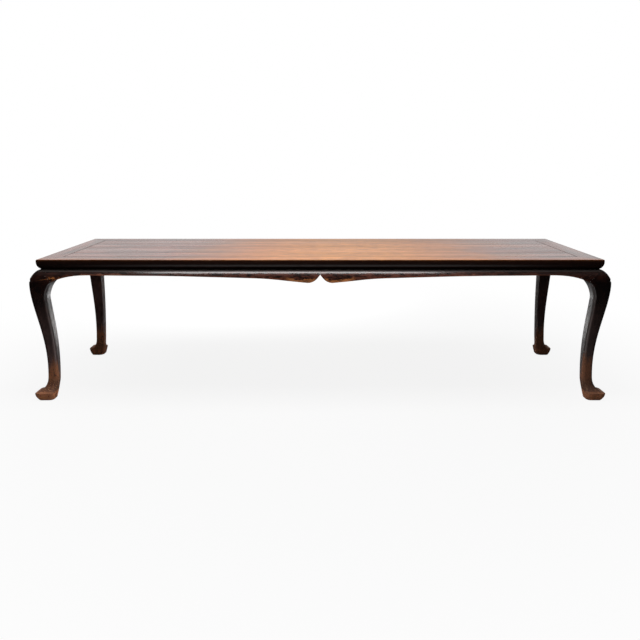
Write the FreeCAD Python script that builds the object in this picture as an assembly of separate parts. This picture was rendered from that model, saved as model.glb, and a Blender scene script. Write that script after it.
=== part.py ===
import FreeCAD, Part
import math
import os

# A long waisted table with S-curved legs, in millimetres.
# The origin is on the floor under the middle of the top: +X along the length, +Y to the back, +Z up.
# An inset is a distance measured inwards from the outline of the top, so a minus inset stands outside it.

Vector = FreeCAD.Vector

# Overall sizes
HEIGHT = 764.0
TOP_LENGTH = 3075.0
TOP_DEPTH = 860.0

# Fits
FIT = 0.2                 # air on each side of a tenon, tongue, key or peg
SWELL_ROOM = 2.0          # room left at the bottom of the frame's groove for the boards to swell
SEAM = 0.3                # open line between the boards and round them
TENON_END_ROOM = 1.0      # room past the end of a blind tenon

# Frame of the top
FRAME_WIDTH = 106.0
FRAME_THICKNESS = 50.0
EDGE_UPRIGHT = 11.0       # height of the upright part of the moulded edge
EDGE_RADIUS = 56.0        # radius of the full curve that turns in below it
ARRIS_RADIUS = 4.0        # rounding of the top's outer edge
GROOVE_DEPTH = 10.0       # groove in the frame's inner edges
CORNER_TENON_INSETS = (30.0, 84.0)
CORNER_TENON_STOP = 24.0  # wood left outside the end of the corner tenon
CORNER_TENON_THICKNESS = 14.0
CORNER_TENON_COVER = 12.0  # wood above the corner tenon
PEG_RADIUS = 4.0
PEG_INSETS = (44.0, 56.0)
PEG_BURIED = 4.0          # how far the peg runs on above the corner tenon

# Panel and braces
PANEL_THICKNESS = 18.0
PANEL_LIP = 10.0          # thickness of frame above the groove
BOARD_SHARES = (0.21, 0.36, 0.20, 0.23)
BOARD_TONGUE = 6.0
BOARD_TONGUE_COVER = 4.0
BRACE_COUNT = 5
BRACE_WIDTH = 48.0
DOVETAIL_HEIGHT = 6.0
DOVETAIL_NECK = 24.0
DOVETAIL_FLARE = 4.0
BRACE_TENON_WIDTH = 24.0
BRACE_TENON_LENGTH = 30.0
BRACE_TENON_SHOULDER = 6.0

# Waist
WAIST_HEIGHT = 6.0
WAIST_INSET = 19.0
WAIST_TONGUE = 6.0        # height of the tongues above and below the strip
WAIST_TONGUE_INSETS = (30.0, 38.0)

# Aprons
SHOULDER_INSET = 17.0     # inset of the apron's upper edge
OVERHANG = 27.5           # how far the bulge stands outside the top
BULGE_DROP = 68.0         # from the apron's upper edge down to the fullest part of the bulge
BULGE_PULL = 0.47         # fullness of the bulge: 0.552 is a quarter ellipse, less is flatter
APRON_BACK = 44.0         # inset of the apron's flat back
CUSP_DROP = 22.0
LOBE_DROP = 64.0
CUSP_PULL = (0.22, 0.45)  # shares of the lobe's distance and fall at which the cusp's side is pulled
LOBE_PULL = 0.48
LONG_LOBE = 67.0          # distance of the lobe's lowest point from the middle
END_LOBE = 42.0
# Points of the lower edge: (distance from the middle, drop) and then (distance from the leg, drop)
LONG_EDGE_FROM_MIDDLE = ((161.0, 55.0), (268.0, 44.5), (430.0, 38.0), (860.0, 28.5))
END_EDGE_FROM_MIDDLE = ((85.0, 54.0), (135.0, 36.0))
EDGE_FROM_LEG = ((243.0, 26.0), (100.0, 31.0), (36.0, 45.5))
END_EDGE_FROM_LEG = ((130.0, 26.0), (70.0, 33.0), (30.0, 47.0))
APRON_TONGUE_INSETS = (24.0, 34.0)
APRON_TONGUE_RUN = (44.0, 74.0)
APRON_TONGUE_DEPTH = 14.0
KEY_RUN = (58.0, 72.0)    # insets between which the hanging key's neck stands
KEY_FLARE = 3.0
KEY_DEPTH = 7.0
KEY_LENGTH = 18.0
KEY_COVER = 3.2           # wood between the key's top and the waist's tongue

# Legs
POST_INSET = 95.0         # inset of the post's two inner faces
MITRE_DROP = 60.0         # from the apron's upper edge down to the lower end of the mitre
HORN_STOP = 0.8           # how far below the apron's upper edge the leg's pointed shoulder is cut off
BRACKET_DROP = 91.0       # height of the curve from the mitre's end to the leg's narrowest inset
BRACKET_INSET = 57.5
BRACKET_POWER = 1.8       # 2 is a quarter ellipse, less is flatter
ANKLE_HEIGHT = 115.0
ANKLE_INSET = 44.5
HEEL_HEIGHT = 95.0
HEEL_INSET = 97.5
OUTER_SWEEP = 0.80        # below 1 the outer curve leaves the knee early
INNER_SWEEP = 0.62
TOE_HEIGHT = 41.0
TOE_INSET = -5.0
TOE_HOLLOW = 2.6          # above 2 the ankle stays slim for longer before the toe turns out
SOLE_INSETS = (12.0, 89.5)
PAD_POWER = 1.8
HEEL_POWER = 1.3
CORNER_TOP = 8.0          # rounding of the leg's outer corner at the shoulder, knee and ankle
CORNER_KNEE = 15.0
CORNER_ANKLE = 14.0
CORNER_SHARE = 0.4        # the most of a narrow section that the rounding may take
SIDE_CORNER = 13.0        # rounding between the leg's outer and inner faces
FOOT_CORNER = 22.0        # rounding of the same corners at the toe and below it
INNER_CORNER = 8.0        # rounding of the leg's innermost corner
HEEL_CORNER = 28.0        # rounding of the same corner at the sole
SIDE_FADE = 6.0           # how late up the leg these corners sharpen towards the apron
JOINT_CORNER = 0.3        # rounding left where the leg meets the apron
LEG_TENON_RUN = (66.0, 90.0)
LEG_TENON_INSETS = (46.0, 58.0)
LONG_LEG_TENON = 16.0
SHORT_LEG_TENON = 13.0
HORN_STEPS = 7
BRACKET_STEPS = 6
SHAFT_STEPS = 16
TOE_STEPS = 8
PAD_STEPS = 4

# Heights and half sizes that follow from the sizes above
HALF_LENGTH = TOP_LENGTH / 2
HALF_DEPTH = TOP_DEPTH / 2
FRAME_Z = HEIGHT - FRAME_THICKNESS
SHOULDER_Z = FRAME_Z - WAIST_HEIGHT
KNEE_Z = SHOULDER_Z - BULGE_DROP
MITRE_Z = SHOULDER_Z - MITRE_DROP
NARROW_Z = MITRE_Z - BRACKET_DROP
PANEL_Z = HEIGHT - PANEL_THICKNESS
LIP_Z = HEIGHT - PANEL_LIP
TENON_TOP_Z = HEIGHT - CORNER_TENON_COVER
TENON_LOW_Z = TENON_TOP_Z - CORNER_TENON_THICKNESS
OPEN_X = HALF_LENGTH - FRAME_WIDTH
OPEN_Y = HALF_DEPTH - FRAME_WIDTH
TONGUE_REACH = GROOVE_DEPTH - SWELL_ROOM
CLEAR = 60.0              # how far a cutting shape runs past what it cuts
LONG, END = "long", "end"
HALF_RUN = {LONG: HALF_LENGTH, END: HALF_DEPTH}


def place(side, run, inset, z):
    """A point of the front (LONG) or left (END) side, from its place along it, its inset and its height."""
    if side == LONG:
        return Vector(run, inset - HALF_DEPTH, z)
    return Vector(inset - HALF_LENGTH, run, z)


def block(side, runs, insets, heights):
    a = place(side, runs[0], insets[0], heights[0])
    b = place(side, runs[1], insets[1], heights[1])
    size = b - a
    return Part.makeBox(size.x, size.y, size.z, a)


def prism(points, sweep):
    closed = Part.makePolygon(points + points[:1])
    return Part.Face(closed).extrude(sweep)


def wider(pair, by):
    return (pair[0] - by, pair[1] + by)


def full_run(side):
    return (-HALF_RUN[side], HALF_RUN[side])


def corner_run(side, insets):
    """Insets from the left or front corner, as places along the side."""
    return tuple(inset - HALF_RUN[side] for inset in insets)


def both_ends(shape, side):
    across = Vector(1, 0, 0) if side == LONG else Vector(0, 1, 0)
    return [shape, shape.mirror(Vector(0, 0, 0), across)]


def mitre_wedge(side):
    """Everything between the two upright diagonal planes at the ends of one side."""
    half = HALF_RUN[side]
    near, far = -CLEAR, FRAME_WIDTH + CLEAR
    outline = [(near - half, near), (half - near, near), (half - far, far), (far - half, far)]
    return prism([place(side, run, inset, 0) for run, inset in outline], Vector(0, 0, HEIGHT + CLEAR))


# Frame of the top

def moulded_bar(side):
    """One frame member before its ends are mitred: moulded outer edge, grooved inner edge."""
    run = -HALF_RUN[side]

    def at(inset, z):
        return place(side, run, inset, z)

    upright_z = HEIGHT - EDGE_UPRIGHT
    drop = upright_z - FRAME_Z
    foot_inset = EDGE_RADIUS - math.sqrt(EDGE_RADIUS ** 2 - drop ** 2)
    half_angle = math.asin(drop / EDGE_RADIUS) / 2
    middle_inset = EDGE_RADIUS * (1 - math.cos(half_angle))
    curve_middle = at(middle_inset, upright_z - EDGE_RADIUS * math.sin(half_angle))
    arris_middle = ARRIS_RADIUS * (1 - math.sqrt(0.5))
    straight = [
        at(ARRIS_RADIUS, HEIGHT),
        at(FRAME_WIDTH, HEIGHT),
        at(FRAME_WIDTH, LIP_Z),
        at(FRAME_WIDTH - GROOVE_DEPTH, LIP_Z),
        at(FRAME_WIDTH - GROOVE_DEPTH, PANEL_Z),
        at(FRAME_WIDTH, PANEL_Z),
        at(FRAME_WIDTH, FRAME_Z),
        at(foot_inset, FRAME_Z),
    ]
    edges = [Part.makeLine(a, b) for a, b in zip(straight, straight[1:])]
    edges.append(Part.Arc(straight[-1], curve_middle, at(0, upright_z)).toShape())
    edges.append(Part.makeLine(at(0, upright_z), at(0, HEIGHT - ARRIS_RADIUS)))
    arris = Part.Arc(at(0, HEIGHT - ARRIS_RADIUS), at(arris_middle, HEIGHT - arris_middle), straight[0])
    edges.append(arris.toShape())
    section = Part.Face(Part.Wire(edges))
    return section.extrude(place(side, -run, 0, 0) - place(side, run, 0, 0))


def corner_tenon(grow):
    """The long member's tenon at the front left corner, grown on its faces by the fit."""
    runs = (CORNER_TENON_STOP - grow - HALF_LENGTH, FRAME_WIDTH - HALF_LENGTH)
    heights = (TENON_LOW_Z - grow, TENON_TOP_Z + grow)
    return block(LONG, runs, wider(CORNER_TENON_INSETS, grow), heights)


def peg(radius, low, high):
    foot = Vector(PEG_INSETS[0] - HALF_LENGTH, PEG_INSETS[1] - HALF_DEPTH, low)
    return Part.makeCylinder(radius, high - low, foot)


def leg_tenon(side, grow, length):
    """The leg's tenon into one frame member, at the front left corner."""
    runs = corner_run(side, wider(LEG_TENON_RUN, grow))
    return block(side, runs, wider(LEG_TENON_INSETS, grow), (FRAME_Z - grow, FRAME_Z + length))


def leg_tenon_length(side):
    return LONG_LEG_TENON if side == LONG else SHORT_LEG_TENON


def waist_groove(side, low, high):
    return block(side, full_run(side), wider(WAIST_TONGUE_INSETS, FIT), (low - FIT, high + FIT))


def frame_member(side):
    member = moulded_bar(side).common(mitre_wedge(side))
    member = member.cut(waist_groove(side, FRAME_Z, FRAME_Z + WAIST_TONGUE).common(mitre_wedge(side)))
    sockets = both_ends(leg_tenon(side, FIT, leg_tenon_length(side) + TENON_END_ROOM), side)
    peg_hole = peg(PEG_RADIUS + FIT, FRAME_Z - FIT, TENON_TOP_Z + PEG_BURIED + FIT)
    if side == LONG:
        member = member.fuse(both_ends(corner_tenon(0), side))
        sockets += both_ends(peg_hole, side)
        sockets += [brace_tenon(x, FIT, TENON_END_ROOM) for x in brace_places()]
    else:
        sockets += both_ends(corner_tenon(FIT), side)
        sockets += both_ends(peg_hole, side)
    return member.cut(sockets).removeSplitter()


# Panel and braces

def brace_places():
    gap = 2 * OPEN_X / (BRACE_COUNT + 1)
    return [(i + 1) * gap - OPEN_X for i in range(BRACE_COUNT)]


def brace_tenon(x, grow, end_room):
    """The brace's tenon into the front frame member."""
    insets = (FRAME_WIDTH - BRACE_TENON_LENGTH - end_room, FRAME_WIDTH + FIT)
    runs = (x - BRACE_TENON_WIDTH / 2 - grow, x + BRACE_TENON_WIDTH / 2 + grow)
    heights = (FRAME_Z + BRACE_TENON_SHOULDER - grow, PANEL_Z - BRACE_TENON_SHOULDER + grow)
    return block(LONG, runs, insets, heights)


def dovetail(x, grow, half_run):
    """The ridge along the brace's top, or with growth the slot for it in the boards."""
    neck = DOVETAIL_NECK / 2 + grow
    wide = neck + DOVETAIL_FLARE
    top = PANEL_Z + DOVETAIL_HEIGHT - FIT + grow
    outline = [(-neck, PANEL_Z), (neck, PANEL_Z), (wide, top), (-wide, top)]
    return prism([Vector(x + dx, -half_run, z) for dx, z in outline], Vector(0, 2 * half_run, 0))


def panel_brace(x):
    half = OPEN_Y - FIT
    corner = Vector(x - BRACE_WIDTH / 2, -half, FRAME_Z)
    body = Part.makeBox(BRACE_WIDTH, 2 * half, PANEL_Z - FRAME_Z, corner)
    tenon = brace_tenon(x, 0, 0)
    tenons = [tenon, tenon.mirror(Vector(0, 0, 0), Vector(0, 1, 0))]
    return body.fuse([dovetail(x, 0, half)] + tenons).removeSplitter()


def panel_boards():
    """The boards from front to back, each with a tongue on its back edge that enters the next board."""
    boards = []
    front = -OPEN_Y
    last = len(BOARD_SHARES) - 1
    tongue_low = HEIGHT - BOARD_TONGUE_COVER - BOARD_TONGUE
    half_upper = OPEN_X - SEAM
    half_lower = OPEN_X + TONGUE_REACH
    tongue_size = (2 * half_upper, BOARD_TONGUE, BOARD_TONGUE)
    for i, share in enumerate(BOARD_SHARES):
        back = front + share * 2 * OPEN_Y
        upper_front = front + (SEAM if i == 0 else SEAM / 2)
        upper_back = back - (SEAM if i == last else SEAM / 2)
        lower_front = front - TONGUE_REACH if i == 0 else upper_front
        lower_back = back + TONGUE_REACH if i == last else upper_back
        upper = Part.makeBox(2 * half_upper, upper_back - upper_front, PANEL_LIP + FIT,
                             Vector(-half_upper, upper_front, LIP_Z - FIT))
        lower = Part.makeBox(2 * half_lower, lower_back - lower_front, LIP_Z - PANEL_Z - FIT,
                             Vector(-half_lower, lower_front, PANEL_Z))
        board = upper.fuse(lower)
        if i < last:
            board = board.fuse(Part.makeBox(*tongue_size, Vector(-half_upper, upper_back, tongue_low)))
        if i > 0:
            slot = Part.makeBox(2 * HALF_LENGTH, BOARD_TONGUE + SEAM, BOARD_TONGUE + 2 * FIT,
                                Vector(-HALF_LENGTH, upper_front - SEAM / 2, tongue_low - FIT))
            board = board.cut(slot)
        board = board.cut([dovetail(x, FIT, HALF_DEPTH) for x in brace_places()])
        boards.append(board.removeSplitter())
        front = back
    return boards


# Waist

def waist_strip(side):
    strip = block(side, full_run(side), (WAIST_INSET, APRON_BACK), (SHOULDER_Z, FRAME_Z))
    tongue_heights = (SHOULDER_Z - WAIST_TONGUE, FRAME_Z + WAIST_TONGUE)
    tongues = block(side, full_run(side), WAIST_TONGUE_INSETS, tongue_heights)
    return strip.fuse(tongues).common(mitre_wedge(side)).removeSplitter()


# Aprons

def bulge_curve(start, corner, end):
    """The bulge's curve from start to end, pulled towards the corner between them."""
    curve = Part.BezierCurve()
    curve.setPoles([start, start + (corner - start) * BULGE_PULL, end + (corner - end) * BULGE_PULL, end])
    return curve.toShape()


def bulge_share(fall):
    """How far out the same curve has come at a share of its fall, as a share of its whole reach."""
    low, high = 0.0, 1.0
    for halving in range(40):
        t = (low + high) / 2
        if 3 * (1 - BULGE_PULL) * t ** 2 * (1 - t) + t ** 3 < fall:
            low = t
        else:
            high = t
    return 3 * BULGE_PULL * t * (1 - t) ** 2 + 3 * t ** 2 * (1 - t) + t ** 3


def mitre_z(inset):
    return SHOULDER_Z - MITRE_DROP * (inset - SHOULDER_INSET) / (POST_INSET - SHOULDER_INSET)


def bulged_bar(side):
    """The apron's section swept along the side: bulging face, flat top and back."""
    run = -HALF_RUN[side]
    low = KNEE_Z - CLEAR
    top = place(side, run, SHOULDER_INSET, SHOULDER_Z)
    full = place(side, run, -OVERHANG, KNEE_Z)
    corner = place(side, run, -OVERHANG, SHOULDER_Z)
    rest = [full, place(side, run, -OVERHANG, low), place(side, run, APRON_BACK, low),
            place(side, run, APRON_BACK, SHOULDER_Z), top]
    edges = [bulge_curve(top, corner, full)]
    edges += [Part.makeLine(a, b) for a, b in zip(rest, rest[1:])]
    section = Part.Face(Part.Wire(edges))
    return section.extrude(place(side, -run, 0, 0) - place(side, run, 0, 0))


def lower_edge(side):
    """Points of half the lower edge, from the lobe's lowest point out to the leg."""
    end = HALF_RUN[side] - POST_INSET
    lobe = LONG_LOBE if side == LONG else END_LOBE
    middle_part = LONG_EDGE_FROM_MIDDLE if side == LONG else END_EDGE_FROM_MIDDLE
    leg_part = EDGE_FROM_LEG if side == LONG else END_EDGE_FROM_LEG
    points = [(lobe, LOBE_DROP)]
    points += list(middle_part)
    points += [(end - back, drop) for back, drop in leg_part]
    points.append((end, MITRE_DROP))
    return points


def apron_outline(side):
    """The apron seen square on, swept through its thickness: cusp, lobes, arches and mitred ends."""
    half = HALF_RUN[side]

    def at(run, drop):
        return place(side, run, -CLEAR, SHOULDER_Z - drop)

    points = lower_edge(side)
    lobe = points[0][0]
    edges = []
    for way in (1, -1):
        fall = Part.BezierCurve()
        pull_drop = CUSP_DROP + CUSP_PULL[1] * (LOBE_DROP - CUSP_DROP)
        fall.setPoles([at(0, CUSP_DROP), at(way * CUSP_PULL[0] * lobe, pull_drop),
                       at(way * LOBE_PULL * lobe, LOBE_DROP), at(way * lobe, LOBE_DROP)])
        rise = Part.BSplineCurve()
        rise.interpolate([at(way * run, drop) for run, drop in points])
        end_low = at(way * (half - POST_INSET), MITRE_DROP)
        end_top = at(way * (half - SHOULDER_INSET), 0)
        edges += [fall.toShape(), rise.toShape(), Part.makeLine(end_low, end_top)]
    edges.append(Part.makeLine(at(half - SHOULDER_INSET, 0), at(SHOULDER_INSET - half, 0)))
    face = Part.Face(Part.Wire(Part.__sortEdges__(edges)))
    return face.extrude(place(side, 0, CLEAR + APRON_BACK, 0) - place(side, 0, 0, 0))


def apron_tongue(side, grow):
    """The tongue below the left or front mitre that drops into the leg's shoulder."""
    near, far = wider(APRON_TONGUE_RUN, grow)
    depth = APRON_TONGUE_DEPTH + grow
    half = HALF_RUN[side]
    low, high = wider(APRON_TONGUE_INSETS, grow)
    near_z, far_z = mitre_z(near), mitre_z(far)
    outline = [(near, near_z), (far, far_z), (far, far_z - depth), (near, near_z - depth)]
    sweep = place(side, 0, high, 0) - place(side, 0, low, 0)
    return prism([place(side, run - half, low, z) for run, z in outline], sweep)


def hanging_key(side, grow):
    """The dovetailed key on the leg's post, or with growth the socket in the apron's back."""
    half = HALF_RUN[side]
    near, far = wider(KEY_RUN, grow)
    front = APRON_BACK - KEY_DEPTH - grow
    high = SHOULDER_Z - WAIST_TONGUE - KEY_COVER
    low = high - KEY_LENGTH
    outline = [(near, APRON_BACK), (far, APRON_BACK), (far + KEY_FLARE, front), (near - KEY_FLARE, front)]
    drop = CLEAR if grow else 0
    points = [place(side, run - half, inset, low - drop) for run, inset in outline]
    return prism(points, Vector(0, 0, high + grow - low + drop))


def apron(side):
    body = bulged_bar(side).common(apron_outline(side)).common(mitre_wedge(side))
    body = body.fuse(both_ends(apron_tongue(side, 0), side))
    cuts = both_ends(hanging_key(side, FIT), side)
    cuts.append(waist_groove(side, SHOULDER_Z - WAIST_TONGUE, SHOULDER_Z).common(mitre_wedge(side)))
    return body.cut(cuts).removeSplitter()


# Legs

def ease(share, power):
    return (1 - math.cos(math.pi * share ** power)) / 2


def outer_inset(z):
    """Inset of the leg's two outer faces at a height."""
    if z >= KNEE_Z:
        fall = (SHOULDER_Z - z) / BULGE_DROP
        return SHOULDER_INSET - (SHOULDER_INSET + OVERHANG) * bulge_share(fall)
    if z >= ANKLE_HEIGHT:
        share = (KNEE_Z - z) / (KNEE_Z - ANKLE_HEIGHT)
        return -OVERHANG + (ANKLE_INSET + OVERHANG) * ease(share, OUTER_SWEEP)
    if z >= TOE_HEIGHT:
        share = (ANKLE_HEIGHT - z) / (ANKLE_HEIGHT - TOE_HEIGHT)
        out = 1 - math.sqrt(max(0.0, 1 - share ** TOE_HOLLOW))
        return ANKLE_INSET + (TOE_INSET - ANKLE_INSET) * out
    share = 1 - z / TOE_HEIGHT
    return TOE_INSET + (SOLE_INSETS[0] - TOE_INSET) * share ** PAD_POWER


def inner_inset(z):
    """Inset of the leg's two inner faces at a height."""
    if z >= MITRE_Z:
        return POST_INSET
    if z >= NARROW_Z:
        share = min(1.0, (z - NARROW_Z) / BRACKET_DROP)
        out = 1 - (1 - share ** BRACKET_POWER) ** (1 / BRACKET_POWER)
        return BRACKET_INSET + (POST_INSET - BRACKET_INSET) * out
    if z >= HEEL_HEIGHT:
        share = (NARROW_Z - z) / (NARROW_Z - HEEL_HEIGHT)
        return BRACKET_INSET + (HEEL_INSET - BRACKET_INSET) * ease(share, INNER_SWEEP)
    share = 1 - z / HEEL_HEIGHT
    return HEEL_INSET + (SOLE_INSETS[1] - HEEL_INSET) * share ** HEEL_POWER


def outer_corner(z):
    if z >= KNEE_Z:
        return CORNER_KNEE + (CORNER_TOP - CORNER_KNEE) * (z - KNEE_Z) / BULGE_DROP
    return CORNER_ANKLE + (CORNER_KNEE - CORNER_ANKLE) * z / KNEE_Z


def sharpened(radius, z):
    """A rounding that shrinks up the leg until it meets the apron's sharp edge."""
    return JOINT_CORNER + (radius - JOINT_CORNER) * (1 - (z / MITRE_Z) ** SIDE_FADE)


def rounded_outline(corners, radii, z):
    """A level outline with straight sides between rounded corners."""
    points = [Vector(x, y, z) for x, y in corners]
    arcs = []
    for i, (point, radius) in enumerate(zip(points, radii)):
        back = (points[i - 1] - point).normalize()
        ahead = (points[(i + 1) % len(points)] - point).normalize()
        half_angle = back.getAngle(ahead) / 2
        reach = radius / math.tan(half_angle)
        bisector = (back + ahead).normalize()
        middle = point + bisector * (radius / math.sin(half_angle) - radius)
        arcs.append((point + back * reach, middle, point + ahead * reach))
    edges = []
    for i, (start, middle, end) in enumerate(arcs):
        edges.append(Part.Arc(start, middle, end).toShape())
        edges.append(Part.makeLine(end, arcs[(i + 1) % len(arcs)][0]))
    return Part.Wire(edges)


def inner_corner(z):
    """Rounding of the leg's innermost corner, which grows down the heel."""
    down_heel = max(0.0, 1 - z / HEEL_HEIGHT)
    return INNER_CORNER + (HEEL_CORNER - INNER_CORNER) * down_heel ** HEEL_POWER


def side_corner(z):
    """Rounding between the leg's outer and inner faces, which grows from the ankle down to the toe."""
    down_foot = min(1.0, max(0.0, (ANKLE_HEIGHT - z) / (ANKLE_HEIGHT - TOE_HEIGHT)))
    return SIDE_CORNER + (FOOT_CORNER - SIDE_CORNER) * down_foot


def leg_section(z):
    """The leg's section at a height, outer corner first."""
    near, far = outer_inset(z), inner_inset(z)
    corners = [(near, near), (far, near), (far, far), (near, far)]
    side_radius = sharpened(min(side_corner(z), CORNER_SHARE * (far - near)), z)
    radii = [outer_corner(z), side_radius, sharpened(inner_corner(z), z), side_radius]
    return rounded_outline(corners, radii, z)


def horn_section(z):
    """The leg's pointed shoulder between its two mitres, at a height."""
    near = outer_inset(z)
    far = SHOULDER_INSET + (POST_INSET - SHOULDER_INSET) * (SHOULDER_Z - z) / MITRE_DROP
    corners = [(near, near), (far, near), (far, far), (near, far)]
    radius = min(outer_corner(z), CORNER_SHARE * (far - near))
    return rounded_outline(corners, [radius] + [JOINT_CORNER] * 3, z)


def loft(section, heights):
    return Part.makeLoft([section(z) for z in heights], True, False)


def quarter_steps(start, end, count):
    """Heights from start to end that crowd towards the end."""
    return [start + (end - start) * math.sin(math.pi / 2 * i / count) for i in range(count + 1)]


def even_steps(start, end, count):
    return [start + (end - start) * i / count for i in range(count + 1)]


def leg():
    """The front left leg: S-curve, foot, mitred shoulder, post, tenons and keys."""
    horn = loft(horn_section, quarter_steps(MITRE_Z, SHOULDER_Z - HORN_STOP, HORN_STEPS))
    bracket = quarter_steps(NARROW_Z, MITRE_Z, BRACKET_STEPS)
    shaft = even_steps(ANKLE_HEIGHT, NARROW_Z, SHAFT_STEPS)
    toe = quarter_steps(ANKLE_HEIGHT, TOE_HEIGHT, TOE_STEPS)
    curve = loft(leg_section, toe[::-1] + shaft[1:] + bracket[1:])
    pad = loft(leg_section, even_steps(0, TOE_HEIGHT, PAD_STEPS))
    body = curve.fuse([horn, pad])
    body.translate(Vector(-HALF_LENGTH, -HALF_DEPTH, 0))
    post_insets = (APRON_BACK, POST_INSET)
    added = [block(LONG, corner_run(LONG, post_insets), post_insets, (MITRE_Z, FRAME_Z))]
    removed = []
    for side in (LONG, END):
        added.append(leg_tenon(side, 0, leg_tenon_length(side)))
        added.append(hanging_key(side, 0))
        removed.append(apron_tongue(side, FIT))
    return body.fuse(added).cut(removed).removeSplitter()


def mirrored(shape, x=False, y=False):
    if x:
        shape = shape.mirror(Vector(0, 0, 0), Vector(1, 0, 0))
    if y:
        shape = shape.mirror(Vector(0, 0, 0), Vector(0, 1, 0))
    return shape


def all_parts():
    parts = {}
    for name, maker in (("top_frame", frame_member), ("waist", waist_strip), ("apron", apron)):
        front, left = maker(LONG), maker(END)
        parts[name + "_front"] = front
        parts[name + "_back"] = mirrored(front, y=True)
        parts[name + "_left"] = left
        parts[name + "_right"] = mirrored(left, x=True)
    for i, board in enumerate(panel_boards()):
        parts["panel_board_%d" % (i + 1)] = board
    for i, x in enumerate(brace_places()):
        parts["panel_brace_%d" % (i + 1)] = panel_brace(x)
    front_left = leg()
    one_peg = peg(PEG_RADIUS, FRAME_Z + FIT, TENON_TOP_Z + PEG_BURIED)
    pegs = []
    for row, y in (("front", False), ("back", True)):
        for end, x in (("left", False), ("right", True)):
            parts["leg_%s_%s" % (row, end)] = mirrored(front_left, x=x, y=y)
            pegs.append(mirrored(one_peg, x=x, y=y))
    parts["frame_pegs"] = Part.makeCompound(pegs)
    return parts


os.makedirs("parts", exist_ok=True)
for node, shape in all_parts().items():
    shape.exportStep("parts/" + node + ".step")
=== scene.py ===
import math

import bpy
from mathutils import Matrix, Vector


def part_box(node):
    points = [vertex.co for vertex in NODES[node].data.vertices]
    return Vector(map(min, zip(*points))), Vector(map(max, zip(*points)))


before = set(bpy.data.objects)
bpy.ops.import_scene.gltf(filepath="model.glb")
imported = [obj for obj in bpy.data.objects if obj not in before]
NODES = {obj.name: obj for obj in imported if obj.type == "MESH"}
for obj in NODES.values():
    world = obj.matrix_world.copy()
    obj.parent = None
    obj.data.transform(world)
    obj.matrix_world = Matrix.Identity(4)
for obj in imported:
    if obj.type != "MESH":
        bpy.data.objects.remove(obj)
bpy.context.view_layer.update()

# A long waisted table in worn dark lacquer, in metres: +X along the length, +Y to the back, +Z up.

# The photograph's camera, in pixels of a 640 x 640 image and in metres
IMAGE = 640
FOCAL_PIXELS = 605.8
HORIZON_ROW = 158.5
MIDDLE_COLUMN = 320.2
EYE_HEIGHT = 1.311
EYE_TO_FRONT_EDGE = 3.2726
SENSOR_MM = 36.0

# Lamps, which face down
SOFTBOX_SIZE = (2.55, 1.3)
SOFTBOX_PLACE = (-0.245, -0.68, 2.9)
SOFTBOX_BRIGHTNESS = 5.5
BACK_LAMP_SIZE = (2.4, 1.2)
BACK_LAMP_PLACE = (-0.9, 2.6, 2.6)
BACK_LAMP_BRIGHTNESS = 9.0
BACK_LAMP_SPREAD = 70.0           # degrees; it lights the floor behind the table and not the top
WIDE_SPREAD = 180.0

# Room
WHITE = (1.0, 1.0, 1.0)
AMBIENT = 0.14
MIRRORED_AMBIENT = 0.05           # the unlit room that the lacquer mirrors
CEILING = (0.85, 0.45)            # sines of the elevations between which the white backdrop comes in
BACKDROP = (0.55, 0.85)           # and how squarely to the back a mirrored direction must run to meet it
DARK_PAINT = (0.05, 0.05, 0.05)
DARK_WALL_Y = -4.3
DARK_WALL_HEIGHT = 5.5
DARK_WALL_REACH = 6.0

# Floor: pale paper to the camera; to lamps and reflections it is a painted pool of light round the table,
# which gives way to a floor painted dark as shade between these distances from the middle
FLOOR_REACH = 9.0
PALE_PAPER, PAINTED_SHADE_FLOOR = 0.9, 0.04
POOL_X = (1.9, 0.6)
POOL_FRONT = (1.4, 0.66)
POOL_BACK = (3.8, 2.3)
FLOOR_WHITENESS = 0.88            # share of plain white that the camera sees; the rest shows the shadow
WHITE_DISTANCES = (0.8, 3.2)      # between which the camera's floor turns all plain white
# The lacquer mirrors this white only inside the painted pool of light
MIRRORED_WHITENESS = 0.30         # share of plain white that the lacquer mirrors

# Places that the finish follows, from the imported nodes
TOP_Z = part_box("panel_board_1")[1].z
HALF_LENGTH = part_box("top_frame_right")[1].x
HALF_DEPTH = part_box("top_frame_back")[1].y
PANEL_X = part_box("top_frame_right")[0].x
PANEL_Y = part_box("top_frame_back")[0].y
BOARD_SEAMS = [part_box("panel_board_%d" % number)[0].y for number in (2, 3, 4)]
SHOULDER_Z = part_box("apron_front")[1].z

# Lower edges of the aprons: (distance from the middle, drop below the shoulder)
POST_INSET = 0.095                # of the legs' posts from the top's edge, where the lower edges end
MITRE_DROP = 0.060
CUSP_DROP, LOBE_DROP = 0.022, 0.064
LONG_LOBE, END_LOBE = 0.067, 0.042
LONG_RUN = HALF_LENGTH - POST_INSET
END_RUN = HALF_DEPTH - POST_INSET
LONG_EDGE = [
    (0.0, CUSP_DROP),
    (0.021, 0.045),
    (LONG_LOBE, LOBE_DROP),
    (0.161, 0.055),
    (0.268, 0.0445),
    (0.430, 0.038),
    (0.860, 0.0285),
    (LONG_RUN - 0.243, 0.026),
    (LONG_RUN - 0.100, 0.031),
    (LONG_RUN - 0.036, 0.0455),
    (LONG_RUN, MITRE_DROP),
]
END_EDGE = [
    (0.0, CUSP_DROP),
    (0.013, 0.045),
    (END_LOBE, LOBE_DROP),
    (0.085, 0.054),
    (0.135, 0.036),
    (END_RUN - 0.130, 0.026),
    (END_RUN - 0.070, 0.033),
    (END_RUN - 0.030, 0.047),
    (END_RUN, MITRE_DROP),
]

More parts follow.
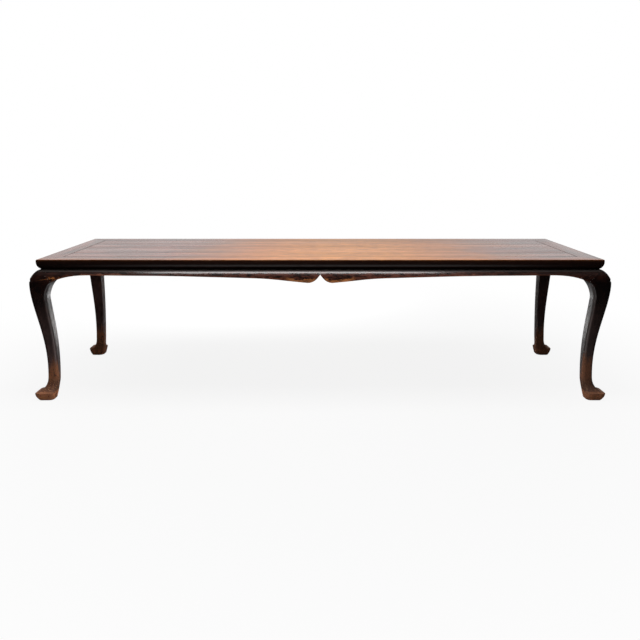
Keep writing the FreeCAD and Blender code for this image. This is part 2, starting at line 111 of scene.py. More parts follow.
# Finish colours
BROWN_LACQUER = (0.26, 0.078, 0.050)
WORN_TAN = (0.60, 0.208, 0.048)
WORN_GOLD = (0.68, 0.265, 0.050)
BLACK_LACQUER = (0.016, 0.007, 0.006)
EDGE_LACQUER = (0.045, 0.016, 0.011)
RUBBED_BROWN = (0.085, 0.032, 0.014)
DARK_BROWN = (0.08, 0.024, 0.014)
APRON_BROWN = (0.145, 0.047, 0.031)
WORN_BROWN = (0.54, 0.205, 0.092)
WORN_ORANGE = (0.78, 0.275, 0.080)
WORN_RED = (0.26, 0.075, 0.030)
SCUFFED = (0.80, 0.42, 0.22)
# A pale grey sheen painted on the legs' lower shafts
PAINTED_SHEEN_GREY = (0.24, 0.135, 0.125)
RAW_WOOD = (0.30, 0.175, 0.085)
OLD_RAW_WOOD = (0.16, 0.085, 0.042)
# Dark dirt in the top's seams, and the painted shade in the waist
SEAM_DIRT_AND_SHADE = (0.02, 0.009, 0.006)

# Gloss, and depths of relief in metres
SATIN, POLISHED = 1.5, 1.75       # refractive indices: the polished lacquer mirrors the room more strongly
TOP_ROUGHNESS = (0.26, 0.36)      # of sound and of worn lacquer
TOP_ROUGHNESS_PUSH = 0.03
TOP_DIRT_ROUGHNESS = 0.3          # added in the seams and on the underside
EDGE_ROUGHNESS = 0.2
BODY_ROUGHNESS = (0.20, 0.5)
LEG_ROUGHNESS = (0.17, 0.75)
RAW_ROUGHNESS = 0.7
# Roughness of the painted shade in the waist
WAIST_ROUGHNESS = 0.85
TOP_RELIEF = 0.0004
BODY_RELIEF = 0.0002
LEG_RELIEF = 0.0005
RAW_RELIEF = 0.0008
LINE_RELIEF, FLECK_RELIEF, MOTTLE_RELIEF = 0.4, 0.5, 0.8   # shares of those depths
PORE_RELIEF, SEAM_RELIEF = -0.6, -1.5
RAW_PORE_RELIEF = -0.5
BUMP_STRENGTH = 0.6
BEVEL_SAMPLES = 6

# Noises along the grain: cells to the metre along and across it, and detail
GRAIN_ROUGHNESS = 0.6
FIGURE = (1.6, 60.0, 4.0)
LINES = (4.0, 240.0, 3.0)
FLECKS = (9.0, 55.0, 4.0)

# Marks along the grain: the same, and the noise at which a mark begins and is full
STREAKS = (0.9, 17.0, 3.0, 0.32, 0.68)
PORES = (18.0, 900.0, 2.0, 0.60, 0.72)
FLAME = (13.0, 36.0, 5.0, 0.34, 0.66)
BLOTCHES = (2.2, 11.0, 3.0, 0.36, 0.60)
BROWNING = (24.0, 80.0, 4.0, 0.36, 0.62)
SPECKS = (40.0, 170.0, 3.0, 0.48, 0.40)

# Even noises: cells to the metre, detail and roughness
CLOUD = (3.0, 5.0, 0.6)
MOTTLE = (28.0, 4.0, 0.62)
SPECKLE = (110.0, 3.0, 0.6)
CHIPS = (170.0, 2.0, 0.5)
PATCHES = (4.0, 3.0, 0.55)
RIM = ((14.0, 14.0, 30.0), 4.0, 0.65)   # with fewer cells along the edge than across it

# Spots: the noise at which they begin and are full, and their strength
RUB_SPOTS = (0.40, 0.70, 1.0)
EDGE_SPOTS = (0.48, 0.62, 1.0)
SHAFT_SPOTS = (0.40, 0.70, 0.5)
FOOT_SPOTS = (0.40, 0.30, 0.7)
FOOT_SPECKLES = (0.46, 0.34, 0.5)
SCUFFS = (0.60, 0.68, 0.8)
PITS = (0.40, 0.33, 0.8)

# How strongly the grain shows, and how dark its pores are
TOP_GRAIN = 0.10
EDGE_GRAIN = 0.2
BODY_GRAIN = 0.22
LEG_GRAIN = 0.24
RAW_GRAIN = 0.25
PORE_TONE = 0.7

# Wear of the top; in each pair, the wear begins at the first distance and is full at the second
SEAM_REACH, SEAM_STRENGTH = 0.006, 0.85
MITRE_REACH, MITRE_STRENGTH = 0.003, 0.6
WORN_MIDDLE = 0.17                # the X of the most worn place
WORN_DISTANCES = (1.15, 0.35)     # from that place
GOLDEN_DISTANCES = (0.60, 0.10)
GOLDEN_SHARES = (0.2, 1.0)        # between the flames and in them
FLAME_TONES = (0.84, 1.14)
BLOTCH_TONES = (0.45, 1.15)
WORN_SEAM = 0.5                   # share of a seam's dirt that is left where the top is worn
STREAKS_PUSH, FLECKS_PUSH, CLOUD_PUSH = 0.07, 0.12, 0.3   # how far noises push the outline of the wear
FRONT_RUB_DISTANCES = (0.065, 0.025)   # from the front edge
FRONT_RUB = 0.3
EDGE_DEPTHS = (0.0005, 0.003)     # below the top, where the moulded edge's lacquer begins
RIM_DEPTHS = (0.014, 0.003)
RIM_PUSH = 0.012

# Wear of the aprons, and the shade painted in their waist, in pairs as above
WAIST_SHADE_DROPS = (0.012, 0.005)   # below the shoulder
LOBE_OUTER, LOBE_INNER = (0.20, 0.14), (0.018, 0.04)   # distances from the middle
LOBE_RISES = (0.020, 0.010)       # above the lower edge
EDGE_RISES = (0.008, 0.001)
EDGE_PUSH = 0.014
EDGE_SHARES = (0.25, 0.8)         # between the rubbed spots and in them
EDGE_DULLING = 0.5
BROWNED_DISTANCES = (1.3, 0.3)    # from the middle
BROWNED_SHARES = (0.3, 1.0)
SPECK_SHARES = (0.9, 0.5)         # beside the lobes' bare wood and on it
RUB_FROM_END, RUB_END_REACH = 0.105, 0.045   # the rubbed patch at the left corner
RUB_DROP, RUB_DROP_REACH = 0.040, 0.010
SCRATCH_FROM_END, SCRATCH_END_REACH = 0.065, 0.060   # the scratch beside it
SCRATCH_DROP, SCRATCH_HALF_WIDTH = 0.0545, 0.003
SCRATCH_SLOPE = 0.143
SCRATCH_STRENGTH = 0.3

# Wear of the legs and the sheen painted on them, in pairs of heights above the floor
# The sheen painted down the shafts
SHEEN_HEIGHTS = (0.62, 0.38)
SHEEN_SHARES = (0.2, 1.0)
SHEEN_OUTER_INNER = (0.8, 0.2)   # shares on the outer faces and on the inner one
SOFT_HEIGHTS = (0.30, 0.15)
SOFT_ARRIS = 0.010                # radius of the worn arrises of the feet
FOOT_FADE = 0.085                 # height over which the lacquer gives way to the worn foot
FOOT_STREAKS_PUSH, FOOT_MOTTLE_PUSH = 0.045, 0.05
# Heights of the instep, painted darker as shade, and of the pad, painted lighter as light
INSTEP_HEIGHTS = (0.125, 0.075)
PAD_HEIGHTS = (0.050, 0.030)
CHIPPED_BELOW, CHIPPED_ABOVE = (0.13, 0.08), (0.035, 0.055)
INSET_HEIGHTS = (0.56, 0.12)      # between which the legs' inner faces move in
INNER_INSETS = (0.042, 0.097)     # roughly from the first to the second of these, from the top's edge
DEEP_DISTANCES = (0.038, 0.022)   # from there, on the side that lies deeper under the table
DEEP_HEIGHTS = (0.07, 0.15)
DEEP_FOOT = 0.2                   # share of the foot's wear that reaches there

# Tones of single pieces, and the shifts that keep their grain from repeating
SIDES = (("front", "x", 1.03), ("back", "x", 0.78), ("left", "y", 0.92), ("right", "y", 0.92))
BOARD_TONES = (0.93, 0.98, 0.97, 0.86)
BOARD_SHIFT = 3.7
FIRST_FRAME_SHIFT, FRAME_SHIFT = 20, 2.3
LEG_SHIFT = 1.9
# The instep's and the pad's tones are painted shade and light, strongest on the front feet
FRONT_WEAR_AND_PAINTED_LIGHT = {"worn_below": 0.235, "instep_painted_shade": 0.45, "pad_painted_light": 2.0, "inner_roughness": 0.28}
BACK_WEAR_AND_PAINTED_LIGHT = {"worn_below": 0.22, "instep_painted_shade": 0.9, "pad_painted_light": 1.2, "inner_roughness": 0.75}
# The legs' tones are painted light: the left legs are painted lighter and the right legs darker
LEGS = {
    "front_left": {"tone": 1.3, "end": -1, **FRONT_WEAR_AND_PAINTED_LIGHT},
    "front_right": {"tone": 0.9, "end": 1, **FRONT_WEAR_AND_PAINTED_LIGHT},
    "back_left": {"tone": 1.4, "end": -1, **BACK_WEAR_AND_PAINTED_LIGHT},
    "back_right": {"tone": 0.85, "end": 1, **BACK_WEAR_AND_PAINTED_LIGHT},
}
BRACES = 5

# How squarely a surface must face a way to count as facing it
FACING_DOWN = (-0.6, -0.9)
FACING_IN = (0.7, 0.95)


class Graph:
    """A node tree built with one short call for each node."""

    def __init__(self, tree):
        self.tree = tree
        tree.nodes.clear()

    def node(self, kind, inputs=None, **settings):
        made = self.tree.nodes.new("ShaderNode" + kind)
        for name, value in settings.items():
            setattr(made, name, value)
        for key, value in (inputs or {}).items():
            self.feed(made.inputs[key], value)
        return made

    def feed(self, socket, value):
        """Links a node's output to a socket, or sets the socket to a number or colour."""
        if isinstance(value, bpy.types.NodeSocket):
            self.tree.links.new(value, socket)
        elif socket.type == "RGBA":
            socket.default_value = tuple(value) + (1.0,)
        else:
            socket.default_value = value

    def math(self, operation, a, b=0.0):
        return self.node("Math", {0: a, 1: b}, operation=operation).outputs[0]

    def plus(self, a, b):
        return self.math("ADD", a, b)

    def minus(self, a, b):
        return self.math("SUBTRACT", a, b)

    def times(self, a, b):
        return self.math("MULTIPLY", a, b)

    def larger(self, a, b):
        return self.math("MAXIMUM", a, b)

    def size(self, value):
        """A value without its sign."""
        return self.math("ABSOLUTE", value)

    def limited(self, value):
        """A value kept between 0 and 1."""
        return self.node("Clamp", {"Value": value}).outputs[0]

    def fade(self, value, start, end):
        """0 at start, 1 at end and smooth between them."""
        inputs = {"Value": value, "From Min": start, "From Max": end}
        return self.node("MapRange", inputs, interpolation_type="SMOOTHSTEP").outputs[0]

    def span(self, value, low, high):
        """A value between 0 and 1 moved to lie between low and high."""
        return self.node("MapRange", {"Value": value, "To Min": low, "To Max": high}).outputs[0]

    def near(self, value, place, reach):
        """1 at a place and 0 at a reach from it."""
        return self.fade(self.size(self.minus(value, place)), reach, 0.0)

    def pushed(self, value, noise, amount):
        """A distance made ragged by a noise, by up to an amount each way."""
        return self.plus(value, self.span(noise, -amount, amount))

    def spots(self, noise, start, end, strength):
        """Spots that begin where a noise is at start and have their full strength where it is at end."""
        return self.times(self.fade(noise, start, end), strength)

    def noise(self, point, cells, detail, roughness):
        """Noise between about 0 and 1, with so many cells to the metre along each axis."""
        scaled = self.node("VectorMath", {0: point, 1: cells}, operation="MULTIPLY").outputs[0]
        inputs = {"Vector": scaled, "Scale": 1.0, "Detail": detail, "Roughness": roughness}
        return self.node("TexNoise", inputs).outputs[0]

    def mix(self, share, a, b):
        return self.node("Mix", {0: share, 6: a, 7: b}, data_type="RGBA").outputs[2]

    def toned(self, colour, tone):
        """A colour made lighter or darker by a number."""
        settings = {"data_type": "RGBA", "blend_type": "MULTIPLY"}
        return self.node("Mix", {0: 1.0, 6: colour, 7: tone}, **settings).outputs[2]


def new_material(name):
    material = bpy.data.materials.new(name)
    material.use_nodes = True
    return material


class Wood(Graph):
    """A wood's graph: places on the object, its grain, and the shader at the end."""

    def __init__(self, name, along, shift=0.0):
        self.material = new_material(name)
        super().__init__(self.material.node_tree)
        place = self.node("TexCoord").outputs["Object"]
        parts = self.node("SeparateXYZ", {0: place})
        self.x, self.y, self.z = parts.outputs[0], parts.outputs[1], parts.outputs[2]
        self.along = "xyz".index(along)
        shifted = self.node("VectorMath", {0: place, 1: (shift, shift, shift)}, operation="ADD")
        self.point = shifted.outputs[0]
        self.streaks = self.marks(*STREAKS)
        self.figure = self.grain(*FIGURE)
        self.lines = self.grain(*LINES)
        self.flecks = self.grain(*FLECKS)
        self.pores = self.marks(*PORES)
        self.cloud = self.even(*CLOUD)
        self.mottle = self.even(*MOTTLE)
        self.speckle = self.even(*SPECKLE)

    def even(self, cells, detail, roughness):
        """Noise with as many cells to the metre each way."""
        return self.noise(self.point, (cells, cells, cells), detail, roughness)

    def grain(self, lengthwise, across, detail):
        """Noise drawn out along the grain, with so many cells to the metre each way."""
        cells = [across, across, across]
        cells[self.along] = lengthwise
        return self.noise(self.point, tuple(cells), detail, GRAIN_ROUGHNESS)

    def marks(self, lengthwise, across, detail, start, end):
        """Marks drawn out along the grain, from none where its noise is at start to full at end."""
        return self.fade(self.grain(lengthwise, across, detail), start, end)

    def grain_tone(self, strength):
        """Lighter and darker lines along the grain, about 1 in the middle."""
        broad = self.span(self.streaks, 1 - strength, 1 + strength)
        figure = self.span(self.figure, 1 - strength, 1 + strength)
        fine = self.span(self.lines, 1 - strength, 1 + strength)
        pores = self.span(self.pores, 1.0, PORE_TONE)
        return self.times(self.times(broad, figure), self.times(fine, pores))

    def below(self, level):
        """Depth below a level."""
        return self.minus(level, self.z)

    def normal(self, axis):
        """How far the surface faces along an axis, from -1 to 1."""
        normal = self.node("NewGeometry").outputs["Normal"]
        return self.node("SeparateXYZ", {0: normal}).outputs["xyz".index(axis)]

    def finish(self, colour, roughness, relief, depth, index=SATIN, softened=None):
        """The finished material. Its arrises are worn soft over a radius, where one is given."""
        bump = self.node("Bump", {"Strength": BUMP_STRENGTH, "Distance": depth, "Height": relief})
        if softened:
            rounded = self.node("Bevel", {"Radius": softened}, samples=BEVEL_SAMPLES).outputs[0]
            self.feed(bump.inputs["Normal"], rounded)
        inputs = {"Base Color": colour, "Roughness": roughness, "Normal": bump.outputs[0]}
        shader = self.node("BsdfPrincipled", inputs)
        shader.inputs["IOR"].default_value = index
        self.node("OutputMaterial", {"Surface": shader.outputs[0]})
        return self.material


# The top

def seam_dirt(wood):
    """Dark lines round the panel, between its boards and along the frame's mitres."""
    along = wood.size(wood.x)
    across = wood.size(wood.y)
    dirt_and_shade = wood.larger(wood.near(across, PANEL_Y, SEAM_REACH), wood.near(along, PANEL_X, SEAM_REACH))
    for place in BOARD_SEAMS:
        dirt_and_shade = wood.larger(dirt_and_shade, wood.near(wood.y, place, SEAM_REACH))
    inside = wood.times(wood.math("LESS_THAN", along, PANEL_X + SEAM_REACH),
                        wood.math("LESS_THAN", across, PANEL_Y + SEAM_REACH))
    from_end = wood.minus(HALF_LENGTH, along)
    from_side = wood.minus(HALF_DEPTH, across)
    mitre = wood.times(wood.near(from_end, from_side, MITRE_REACH), MITRE_STRENGTH)
    return wood.larger(wood.times(dirt_and_shade, inside), wood.times(mitre, wood.minus(1.0, inside)))


def top_wear(wood, from_middle):
    """How far the top's lacquer is worn away: most in the middle, and more along the front edge."""
    distance = wood.pushed(from_middle, wood.streaks, -STREAKS_PUSH)
    distance = wood.pushed(distance, wood.flecks, -FLECKS_PUSH)
    distance = wood.pushed(distance, wood.cloud, -CLOUD_PUSH)
    wear = wood.fade(distance, *WORN_DISTANCES)
    front_rub = wood.fade(wood.plus(wood.y, HALF_DEPTH), *FRONT_RUB_DISTANCES)
    return wood.limited(wood.plus(wear, wood.times(front_rub, FRONT_RUB)))


def top_colour(wood, wear, from_middle, tone):
    """Blotched brown lacquer over tan wood, which is golden in the middle, with a flame in its grain."""
    flame = wood.marks(*FLAME)
    golden = wood.times(wood.fade(from_middle, *GOLDEN_DISTANCES), wood.span(flame, *GOLDEN_SHARES))
    lacquer = wood.toned(BROWN_LACQUER, wood.span(wood.marks(*BLOTCHES), *BLOTCH_TONES))
    colour = wood.mix(wear, lacquer, wood.mix(golden, WORN_TAN, WORN_GOLD))
    flame_tone = wood.span(flame, *[lightness * tone for lightness in FLAME_TONES])
    return wood.toned(colour, wood.times(wood.grain_tone(TOP_GRAIN), flame_tone))


def edge_colour(wood):
    """The moulded edge: black lacquer, rubbed brown at its upper rim."""
    rim_noise = wood.noise(wood.point, *RIM)
    depth = wood.pushed(wood.below(TOP_Z), rim_noise, -RIM_PUSH)
    colour = wood.mix(wood.fade(depth, *RIM_DEPTHS), EDGE_LACQUER, RUBBED_BROWN)
    return wood.toned(colour, wood.grain_tone(EDGE_GRAIN))


def top_finish(name, along, shift, tone):
    """The boards and the frame: a worn upper face, a dark moulded edge and an underside of old raw wood."""
    wood = Wood(name, along, shift)
    from_middle = wood.size(wood.minus(wood.x, WORN_MIDDLE))
    wear = top_wear(wood, from_middle)
    dirt_and_shade = wood.times(seam_dirt(wood), wood.span(wear, 1.0, WORN_SEAM))
    edge = wood.fade(wood.below(TOP_Z), *EDGE_DEPTHS)
    under = wood.fade(wood.normal("z"), *FACING_DOWN)
    colour = top_colour(wood, wear, from_middle, tone)
    colour = wood.mix(wood.times(dirt_and_shade, SEAM_STRENGTH), colour, SEAM_DIRT_AND_SHADE)
    colour = wood.mix(edge, colour, edge_colour(wood))
    colour = wood.mix(under, colour, wood.toned(OLD_RAW_WOOD, wood.grain_tone(EDGE_GRAIN)))
    roughness = wood.span(wear, *TOP_ROUGHNESS)
    roughness = wood.pushed(roughness, wood.streaks, -TOP_ROUGHNESS_PUSH)
    roughness = wood.plus(roughness, wood.times(wood.larger(dirt_and_shade, under), TOP_DIRT_ROUGHNESS))
    roughness = wood.mix(edge, roughness, (EDGE_ROUGHNESS, EDGE_ROUGHNESS, EDGE_ROUGHNESS))
    relief = wood.plus(wood.times(wood.lines, LINE_RELIEF), wood.times(wood.pores, PORE_RELIEF))
    relief = wood.plus(relief, wood.times(dirt_and_shade, SEAM_RELIEF))
    return wood.finish(colour, roughness, relief, TOP_RELIEF)


# Aprons, waist and legs

def above_lower_edge(wood, from_middle, half_run, points):
    """Height above an apron's lower edge, whose points are (distance from the middle, drop)."""
    least = min(drop for place, drop in points)
    most = max(drop for place, drop in points)
    curve_node = wood.node("FloatCurve", {"Value": wood.math("DIVIDE", from_middle, half_run)})
    curve = curve_node.mapping.curves[0]
    shares = [(place / half_run, (drop - least) / (most - least)) for place, drop in points]
    for share in shares[1:-1]:
        curve.points.new(*share)
    curve.points[0].location = shares[0]
    curve.points[-1].location = shares[-1]
    curve_node.mapping.update()
    drop_here = wood.span(curve_node.outputs[0], least, most)
    return wood.minus(drop_here, wood.below(SHOULDER_Z))


def waist_painted_shade(wood):
    """Painted shade: the narrow waist and the shoulder just below it, painted dark where shade falls."""
    return wood.fade(wood.below(SHOULDER_Z), *WAIST_SHADE_DROPS)


def corner_rub(wood):
    """The rubbed patch where the front apron meets the left leg, and a scratch on over the knee."""
    front = wood.math("LESS_THAN", wood.y, -PANEL_Y)
    from_end = wood.plus(wood.x, HALF_LENGTH)
    drop = wood.below(SHOULDER_Z)
    patch = wood.times(wood.near(from_end, RUB_FROM_END, RUB_END_REACH),
                       wood.near(drop, RUB_DROP, RUB_DROP_REACH))
    patch = wood.times(patch, wood.spots(wood.speckle, *RUB_SPOTS))
    sloping_drop = wood.plus(drop, wood.times(from_end, SCRATCH_SLOPE))
    scratch = wood.times(wood.near(sloping_drop, SCRATCH_DROP, SCRATCH_HALF_WIDTH),
                         wood.near(from_end, SCRATCH_FROM_END, SCRATCH_END_REACH))
    return wood.times(front, wood.larger(patch, wood.times(scratch, SCRATCH_STRENGTH)))


def body_finish(name, along, half_run, points):
    """Aprons and waist: dark lacquer, rubbed bare on the lobes and in patches along the lower edges, and
    painted dark as shade in the waist.
    """
    wood = Wood(name, along)
    from_middle = wood.size((wood.x, wood.y)[wood.along])
    rise = above_lower_edge(wood, from_middle, half_run, points)
    rise = wood.pushed(rise, wood.mottle, EDGE_PUSH)
    middle = wood.times(wood.fade(from_middle, *LOBE_OUTER), wood.fade(from_middle, *LOBE_INNER))
    lobes = wood.times(middle, wood.fade(rise, *LOBE_RISES))
    patches = wood.spots(wood.even(*PATCHES), *EDGE_SPOTS)
    edges = wood.times(wood.fade(rise, *EDGE_RISES), wood.span(patches, *EDGE_SHARES))
    browned = wood.span(wood.fade(from_middle, *BROWNED_DISTANCES), *BROWNED_SHARES)
    browned = wood.times(wood.marks(*BROWNING), browned)
    specks = wood.times(wood.marks(*SPECKS), wood.times(middle, wood.span(lobes, *SPECK_SHARES)))
    # Painted shade in the waist
    dirt_and_shade = waist_painted_shade(wood)
    colour = wood.mix(browned, BLACK_LACQUER, APRON_BROWN)
    colour = wood.mix(edges, colour, WORN_RED)
    colour = wood.mix(wood.larger(lobes, corner_rub(wood)), colour, WORN_ORANGE)
    colour = wood.mix(specks, colour, BLACK_LACQUER)
    colour = wood.toned(colour, wood.grain_tone(BODY_GRAIN))
    colour = wood.mix(dirt_and_shade, colour, SEAM_DIRT_AND_SHADE)
    dulling_and_sheen = wood.limited(wood.plus(lobes, wood.times(edges, EDGE_DULLING)))
    roughness = wood.larger(wood.span(dulling_and_sheen, *BODY_ROUGHNESS), wood.times(dirt_and_shade, WAIST_ROUGHNESS))
    relief = wood.plus(wood.times(wood.lines, LINE_RELIEF), wood.times(wood.flecks, FLECK_RELIEF))
    return wood.finish(colour, roughness, relief, BODY_RELIEF, POLISHED)


def deep_side(wood, inner):
    """1 on the part of a leg's inner face that lies deeper under the table, above the foot."""
    inset = wood.span(wood.fade(wood.z, *INSET_HEIGHTS), *INNER_INSETS)
    from_inside = wood.minus(wood.size(wood.y), wood.minus(HALF_DEPTH, inset))
    deep = wood.times(inner, wood.fade(from_inside, *DEEP_DISTANCES))
    return wood.times(deep, wood.fade(wood.z, *DEEP_HEIGHTS))


def shaft_colour(wood, inner):
    """A leg's dark lacquer with a pale grey sheen painted on down the shaft, least on its inner face."""
    colour = wood.mix(wood.spots(wood.mottle, *SHAFT_SPOTS), BLACK_LACQUER, DARK_BROWN)
    # Painted sheen, pale grey, down the shaft
    dulling_and_sheen = wood.times(wood.fade(wood.z, *SHEEN_HEIGHTS), wood.span(wood.mottle, *SHEEN_SHARES))
    dulling_and_sheen = wood.times(dulling_and_sheen, wood.span(inner, *SHEEN_OUTER_INNER))
    return wood.mix(dulling_and_sheen, colour, PAINTED_SHEEN_GREY)


def foot_colour(wood, instep_painted_shade, pad_painted_light):
    """A foot's worn brown wood, with dark spots, and with pale scuffs and black pits at the instep; the
    instep is painted darker as shade and the pad lighter as light.
    """
    pad = wood.fade(wood.z, *PAD_HEIGHTS)
    instep = wood.times(wood.fade(wood.z, *INSTEP_HEIGHTS), wood.minus(1.0, pad))
    # Painted shade on the instep and painted light on the pad
    tone = wood.times(wood.span(instep, 1.0, instep_painted_shade), wood.span(pad, 1.0, pad_painted_light))
    colour = wood.toned(WORN_BROWN, tone)
    chips = wood.even(*CHIPS)
    chipped = wood.times(wood.fade(wood.z, *CHIPPED_BELOW), wood.fade(wood.z, *CHIPPED_ABOVE))
    colour = wood.mix(wood.spots(wood.mottle, *FOOT_SPOTS), colour, DARK_BROWN)
    colour = wood.mix(wood.spots(wood.speckle, *FOOT_SPECKLES), colour, DARK_BROWN)
    colour = wood.mix(wood.times(wood.spots(chips, *SCUFFS), chipped), colour, SCUFFED)
    return wood.mix(wood.times(wood.spots(chips, *PITS), chipped), colour, BLACK_LACQUER)


def leg_finish(name, shift, tone, end, worn_below, instep_painted_shade, pad_painted_light, inner_roughness):
    """A leg at the left (-1) or right (1) end: dark lacquer above, and worn wood from the ankle down. Light
    and shade are painted on: in its tone, as a sheen down the shaft, on the foot and in the waist.
    """
    wood = Wood(name, "z", shift)
    inner = wood.fade(wood.times(wood.normal("x"), -end), *FACING_IN)
    deep = deep_side(wood, inner)
    height = wood.pushed(wood.z, wood.streaks, FOOT_STREAKS_PUSH)
    height = wood.pushed(height, wood.mottle, FOOT_MOTTLE_PUSH)
    foot = wood.fade(height, worn_below, worn_below - FOOT_FADE)
    foot = wood.times(foot, wood.span(deep, 1.0, DEEP_FOOT))
    # Painted shade in the waist, at the leg's shoulder
    dirt_and_shade = waist_painted_shade(wood)
    colour = wood.mix(foot, shaft_colour(wood, inner), foot_colour(wood, instep_painted_shade, pad_painted_light))
    colour = wood.mix(corner_rub(wood), colour, WORN_ORANGE)
    # The tone paints light: lighter on the left legs, darker on the right ones
    colour = wood.toned(colour, wood.times(wood.grain_tone(LEG_GRAIN), tone))
    colour = wood.mix(dirt_and_shade, colour, SEAM_DIRT_AND_SHADE)
    roughness = wood.span(wood.larger(foot, dirt_and_shade), *LEG_ROUGHNESS)
    inner_dulled = wood.times(inner, wood.span(deep, LEG_ROUGHNESS[1], inner_roughness))
    roughness = wood.larger(roughness, inner_dulled)
    relief = wood.plus(wood.times(wood.lines, LINE_RELIEF), wood.times(wood.mottle, MOTTLE_RELIEF))
    softened = wood.times(wood.fade(wood.z, *SOFT_HEIGHTS), SOFT_ARRIS)
    return wood.finish(colour, roughness, relief, LEG_RELIEF, POLISHED, softened)


# Braces and pegs

def raw_finish(name, along):
    """Bare wood that has darkened with age."""
    wood = Wood(name, along)
    colour = wood.toned(wood.mix(wood.cloud, RAW_WOOD, OLD_RAW_WOOD), wood.grain_tone(RAW_GRAIN))
    relief = wood.plus(wood.lines, wood.times(wood.pores, RAW_PORE_RELIEF))
    return wood.finish(colour, RAW_ROUGHNESS, relief, RAW_RELIEF)


# Each node's finish

def set_finish(name, material):
    NODES[name].material_slots[0].material = material


for number, board_tone in enumerate(BOARD_TONES, 1):
    board = top_finish("panel_finish_%d" % number, "x", BOARD_SHIFT * number, board_tone)
    set_finish("panel_board_%d" % number, board)
for number, (side, axis, side_tone) in enumerate(SIDES):
    frame_shift = FIRST_FRAME_SHIFT + FRAME_SHIFT * number
    set_finish("top_frame_" + side, top_finish("frame_finish_" + side, axis, frame_shift, side_tone))
    edge_points = LONG_EDGE if axis == "x" else END_EDGE
    edge_run = LONG_RUN if axis == "x" else END_RUN
    body = body_finish("body_finish_" + side, axis, edge_run, edge_points)
    set_finish("waist_" + side, body)
    set_finish("apron_" + side, body)
for number, (corner, leg_wear_and_light) in enumerate(LEGS.items()):
    set_finish("leg_" + corner, leg_finish("leg_finish_" + corner, LEG_SHIFT * number, **leg_wear_and_light))
for number in range(1, BRACES + 1):
    set_finish("panel_brace_%d" % number, raw_finish("brace_finish_%d" % number, "y"))
set_finish("frame_pegs", raw_finish("peg_finish", "z"))


# Studio

def sheet(name, corners, material):
    """A flat piece of the stage with four corners."""
    mesh = bpy.data.meshes.new(name)
    mesh.from_pydata(corners, [], [(0, 1, 2, 3)])
    mesh.materials.append(material)
    made = bpy.data.objects.new(name, mesh)
    bpy.context.scene.collection.objects.link(made)
    return made


def floor_material():
    """Paper that is white to the camera but for the table's shadow; to lamps and reflections it is a
    painted pool of light round the table, painted dark as shade beyond it.
    """
    material = new_material("studio_floor")
    graph = Graph(material.node_tree)
    place = graph.node("TexCoord").outputs["Object"]
    distance = graph.node("VectorMath", {0: place}, operation="LENGTH").outputs["Value"]
    parts = graph.node("SeparateXYZ", {0: place})
    to_front = graph.times(parts.outputs[1], -1.0)
    # Painted pool of light round the table, painted dark as shade beyond it
    painted_pool = graph.times(graph.fade(graph.size(parts.outputs[0]), *POOL_X),
                        graph.fade(to_front, *POOL_FRONT))
    painted_pool = graph.times(painted_pool, graph.fade(parts.outputs[1], *POOL_BACK))
    path = graph.node("LightPath")
    seen = graph.span(graph.fade(distance, *WHITE_DISTANCES), FLOOR_WHITENESS, 1.0)
    seen = graph.times(path.outputs["Is Camera Ray"], seen)
    mirrored = graph.larger(path.outputs["Is Glossy Ray"], path.outputs["Is Transmission Ray"])
    mirrored = graph.times(mirrored, graph.times(painted_pool, MIRRORED_WHITENESS))
    share = graph.larger(seen, mirrored)
    pale = graph.larger(painted_pool, path.outputs["Is Camera Ray"])
    paint = graph.node("BsdfDiffuse", {"Color": graph.span(pale, PAINTED_SHADE_FLOOR, PALE_PAPER)})
    white = graph.node("Emission", {"Color": WHITE, "Strength": 1.0})
    blend = graph.node("MixShader", {0: share, 1: paint.outputs[0], 2: white.outputs[0]})
    graph.node("OutputMaterial", {"Surface": blend.outputs[0]})
    return material


def dark_material():
    material = new_material("studio_dark")
    graph = Graph(material.node_tree)
    paint = graph.node("BsdfDiffuse", {"Color": DARK_PAINT})
    graph.node("OutputMaterial", {"Surface": paint.outputs[0]})
    return material


def area_lamp(name, size, place, brightness, spread):
    """A rectangular lamp that faces down; brightness is its face's, whatever its size."""
    lamp = bpy.data.lights.new(name, "AREA")
    lamp.shape = "RECTANGLE"
    lamp.size, lamp.size_y = size
    lamp.energy = brightness * math.pi * size[0] * size[1]
    lamp.spread = math.radians(spread)
    hung = bpy.data.objects.new(name, lamp)
    hung.location = place
    bpy.context.scene.collection.objects.link(hung)


sheet("floor", [
    (-FLOOR_REACH, -FLOOR_REACH, 0),
    (FLOOR_REACH, -FLOOR_REACH, 0),
    (FLOOR_REACH, FLOOR_REACH, 0),
    (-FLOOR_REACH, FLOOR_REACH, 0),
], floor_material())

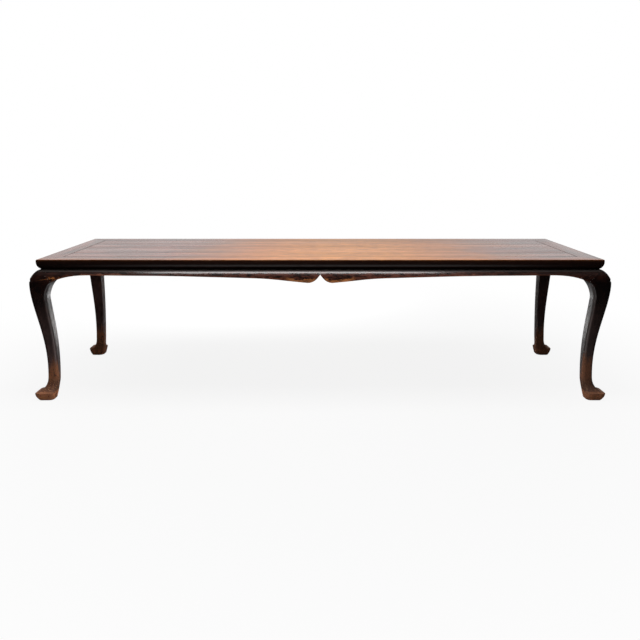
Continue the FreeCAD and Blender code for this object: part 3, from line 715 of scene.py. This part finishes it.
# A dark wall behind the camera keeps the table's front dark; no camera sees it
dark_wall = sheet("dark_wall", [
    (-DARK_WALL_REACH, DARK_WALL_Y, 0),
    (DARK_WALL_REACH, DARK_WALL_Y, 0),
    (DARK_WALL_REACH, DARK_WALL_Y, DARK_WALL_HEIGHT),
    (-DARK_WALL_REACH, DARK_WALL_Y, DARK_WALL_HEIGHT),
], dark_material())
dark_wall.visible_camera = False

# The world is white to the camera, a white backdrop to reflections that run to the back, and else dim
world = bpy.data.worlds.new("studio")
bpy.context.scene.world = world
world.use_nodes = True
sky = Graph(world.node_tree)
rays = sky.node("LightPath")
direction = sky.node("TexCoord").outputs["Generated"]
ways = sky.node("SeparateXYZ", {0: direction})
backdrop = sky.times(sky.fade(ways.outputs[2], *CEILING), sky.fade(ways.outputs[1], *BACKDROP))
mirrored_rays = sky.larger(rays.outputs["Is Glossy Ray"], rays.outputs["Is Transmission Ray"])
plain_white = sky.larger(rays.outputs["Is Camera Ray"], sky.times(mirrored_rays, backdrop))
sky_strength = sky.larger(plain_white, sky.span(mirrored_rays, AMBIENT, MIRRORED_AMBIENT))
background = sky.node("Background", {"Color": WHITE, "Strength": sky_strength})
sky.node("OutputWorld", {"Surface": background.outputs[0]})

area_lamp("softbox", SOFTBOX_SIZE, SOFTBOX_PLACE, SOFTBOX_BRIGHTNESS, WIDE_SPREAD)
area_lamp("back_lamp", BACK_LAMP_SIZE, BACK_LAMP_PLACE, BACK_LAMP_BRIGHTNESS, BACK_LAMP_SPREAD)

# Camera
camera_data = bpy.data.cameras.new("camera")
camera_data.sensor_width = SENSOR_MM
camera_data.lens = FOCAL_PIXELS * SENSOR_MM / IMAGE
camera_data.shift_x = (IMAGE / 2 - MIDDLE_COLUMN) / IMAGE
camera_data.shift_y = (HORIZON_ROW - IMAGE / 2) / IMAGE
camera = bpy.data.objects.new("camera", camera_data)
camera.location = (0.0, -HALF_DEPTH - EYE_TO_FRONT_EDGE, EYE_HEIGHT)
camera.rotation_euler = (math.radians(90), 0.0, 0.0)
bpy.context.scene.collection.objects.link(camera)
bpy.context.scene.camera = camera
bpy.context.scene.view_settings.view_transform = "Standard"
